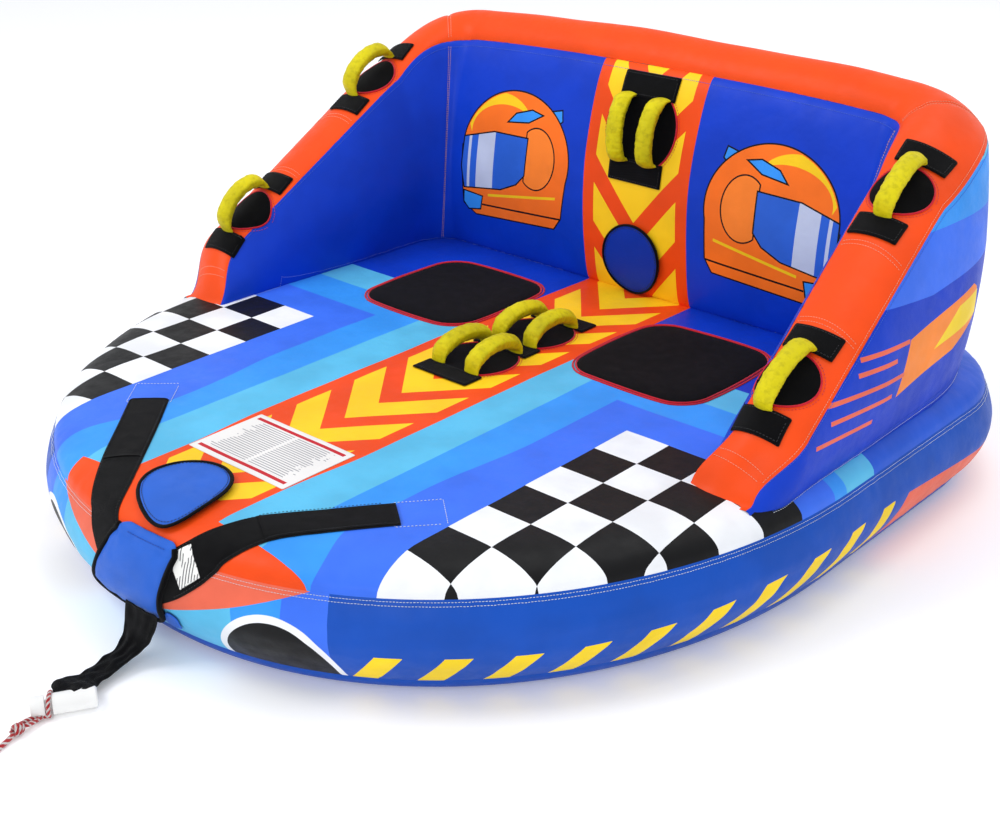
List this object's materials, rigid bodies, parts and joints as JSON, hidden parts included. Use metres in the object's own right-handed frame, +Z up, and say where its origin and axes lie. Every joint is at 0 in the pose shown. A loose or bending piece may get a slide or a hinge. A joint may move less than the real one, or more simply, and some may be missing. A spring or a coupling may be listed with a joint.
{
  "type": "towable tube",
  "caption": "Inflatable towable tube with a round-nosed deck, sofa-shaped backrest with sloping arms, seat pads, grab handles and a tow harness.",
  "frame": {"origin": "on the floor under the middle of the tube's base", "axes": "+Z up, -Y towards the nose and the tow line, +Y towards the backrest, +X to the riders' left as they face the nose"},
  "size_m": [1.638, 2.244, 0.792],
  "materials": {
    "cover_fabric": "printed coated nylon",
    "band_fabric": "plain coated nylon",
    "bladder": "satin vinyl",
    "seat_pad": "neoprene cloth",
    "label": "satin woven label",
    "webbing": "woven webbing",
    "knuckle_guard": "neoprene cloth with red piping",
    "valve": "moulded",
    "flap_fabric": "coated nylon with black binding",
    "connector": "moulded",
    "rope": "braided",
    "zip": "moulded coil",
    "grip": "nylon over foam"
  },
  "bodies": {
    "tube": {"bottom_cover": "cover_fabric", "side_band": "cover_fabric", "deck_cover": "cover_fabric", "backrest_inner_cover": "cover_fabric", "backrest_outer_cover": "cover_fabric", "backrest_top_band": "band_fabric", "base_bladder": "bladder", "back_bladder": "bladder", "arm_bladder_left": "bladder", "arm_bladder_right": "bladder", "seat_pad_left": "seat_pad", "seat_pad_right": "seat_pad", "label_panel": "label", "care_tag": "label", "deck_handle_patches": "webbing", "back_handle_patches": "webbing", "left_arm_handle_patches": "webbing", "right_arm_handle_patches": "webbing", "deck_knuckle_guards": "knuckle_guard", "back_knuckle_guard": "knuckle_guard", "left_arm_knuckle_guards": "knuckle_guard", "right_arm_knuckle_guards": "knuckle_guard", "deck_valve_body": "valve", "back_valve_body": "valve", "harness_strap_left": "webbing", "harness_strap_right": "webbing", "tow_patch": "flap_fabric", "closing_zip": "zip"},
    "front_handle_left": {"front_handle_left": "grip"},
    "front_handle_right": {"front_handle_right": "grip"},
    "rear_handle_left": {"rear_handle_left": "grip"},
    "rear_handle_right": {"rear_handle_right": "grip"},
    "back_handle_left": {"back_handle_left": "grip"},
    "back_handle_right": {"back_handle_right": "grip"},
    "left_arm_low_handle": {"left_arm_low_handle": "grip"},
    "left_arm_high_handle": {"left_arm_high_handle": "grip"},
    "right_arm_low_handle": {"right_arm_low_handle": "grip"},
    "right_arm_high_handle": {"right_arm_high_handle": "grip"},
    "deck_valve_cap": {"deck_valve_cap": "valve"},
    "deck_valve_flap": {"deck_valve_flap": "flap_fabric"},
    "back_valve_cap": {"back_valve_cap": "valve"},
    "back_valve_flap": {"back_valve_flap": "flap_fabric"},
    "tow_strap": {"tow_strap": "webbing"},
    "connector": {"quick_connector": "connector", "tow_rope_loop": "rope", "tow_rope_knot": "rope", "tow_rope": "rope", "tow_rope_coil": "rope", "tow_rope_end_knot": "rope"},
    "zip_slider": {"zip_slider": "zip"}
  },
  "joints": [
    {"name": "front_handle_left_flop", "type": "hinge", "parent": "tube", "child": "front_handle_left", "pos_m": [-0.041, 0.017, 0.2498], "axis": [0, 1, 0], "range_deg": [-60, 25], "stiffness_Nm_per_rad": 1.2},
    {"name": "front_handle_right_flop", "type": "hinge", "parent": "tube", "child": "front_handle_right", "pos_m": [0.041, 0.017, 0.2498], "axis": [0, 1, 0], "range_deg": [-25, 60], "stiffness_Nm_per_rad": 1.2},
    {"name": "rear_handle_left_flop", "type": "hinge", "parent": "tube", "child": "rear_handle_left", "pos_m": [-0.041, 0.19, 0.2498], "axis": [0, 1, 0], "range_deg": [-60, 25], "stiffness_Nm_per_rad": 1.2},
    {"name": "rear_handle_right_flop", "type": "hinge", "parent": "tube", "child": "rear_handle_right", "pos_m": [0.041, 0.19, 0.2498], "axis": [0, 1, 0], "range_deg": [-25, 60], "stiffness_Nm_per_rad": 1.2},
    {"name": "back_handle_left_flop", "type": "hinge", "parent": "tube", "child": "back_handle_left", "pos_m": [-0.041, 0.52502, 0.5988], "axis": [0, 0.1132, 0.9936], "range_deg": [-60, 25], "stiffness_Nm_per_rad": 1.2},
    {"name": "back_handle_right_flop", "type": "hinge", "parent": "tube", "child": "back_handle_right", "pos_m": [0.041, 0.52502, 0.5988], "axis": [0, 0.1132, 0.9936], "range_deg": [-25, 60], "stiffness_Nm_per_rad": 1.2},
    {"name": "left_arm_low_handle_flop", "type": "hinge", "parent": "tube", "child": "left_arm_low_handle", "pos_m": [-0.69, 0.0155, 0.40603], "axis": [0, 0.8467, 0.5321], "range_deg": [-60, 60], "stiffness_Nm_per_rad": 1.2},
    {"name": "left_arm_high_handle_flop", "type": "hinge", "parent": "tube", "child": "left_arm_high_handle", "pos_m": [-0.67, 0.38719, 0.63964], "axis": [0, 0.8467, 0.5321], "range_deg": [-60, 60], "stiffness_Nm_per_rad": 1.2},
    {"name": "right_arm_low_handle_flop", "type": "hinge", "parent": "tube", "child": "right_arm_low_handle", "pos_m": [0.69, 0.0155, 0.40603], "axis": [0, 0.8467, 0.5321], "range_deg": [-60, 60], "stiffness_Nm_per_rad": 1.2},
    {"name": "right_arm_high_handle_flop", "type": "hinge", "parent": "tube", "child": "right_arm_high_handle", "pos_m": [0.67, 0.38719, 0.63964], "axis": [0, 0.8467, 0.5321], "range_deg": [-60, 60], "stiffness_Nm_per_rad": 1.2},
    {"name": "deck_valve_cap_turn", "type": "hinge", "parent": "tube", "child": "deck_valve_cap", "pos_m": [0, -0.697, 0.24], "axis": [0, 0, 1], "range_deg": [0, 270]},
    {"name": "deck_valve_flap_lift", "type": "hinge", "parent": "tube", "child": "deck_valve_flap", "pos_m": [0, -0.625, 0.25025], "axis": [-1, 0, 0], "range_deg": [0, 110]},
    {"name": "back_valve_cap_turn", "type": "hinge", "parent": "tube", "child": "back_valve_cap", "pos_m": [0, 0.50283, 0.3175], "axis": [0, -0.9936, 0.1132], "range_deg": [0, 270]},
    {"name": "back_valve_flap_lift", "type": "hinge", "parent": "tube", "child": "back_valve_flap", "pos_m": [0, 0.50012, 0.38423], "axis": [-1, 0, 0], "range_deg": [0, 110]},
    {"name": "tow_swing", "type": "hinge", "parent": "tube", "child": "tow_strap", "pos_m": [0.004, -0.866, 0.084], "axis": [0, 0, 1], "range_deg": [-18, 18]},
    {"name": "connector_turn", "type": "hinge", "parent": "tow_strap", "child": "connector", "pos_m": [0.07763, -1.00516, 0.017], "axis": [0, 0, 1], "range_deg": [-8, 8]},
    {"name": "zip_run", "type": "slide", "parent": "tube", "child": "zip_slider", "axis": [1, 0, 0], "range_m": [0, 0.87]}
  ]
}
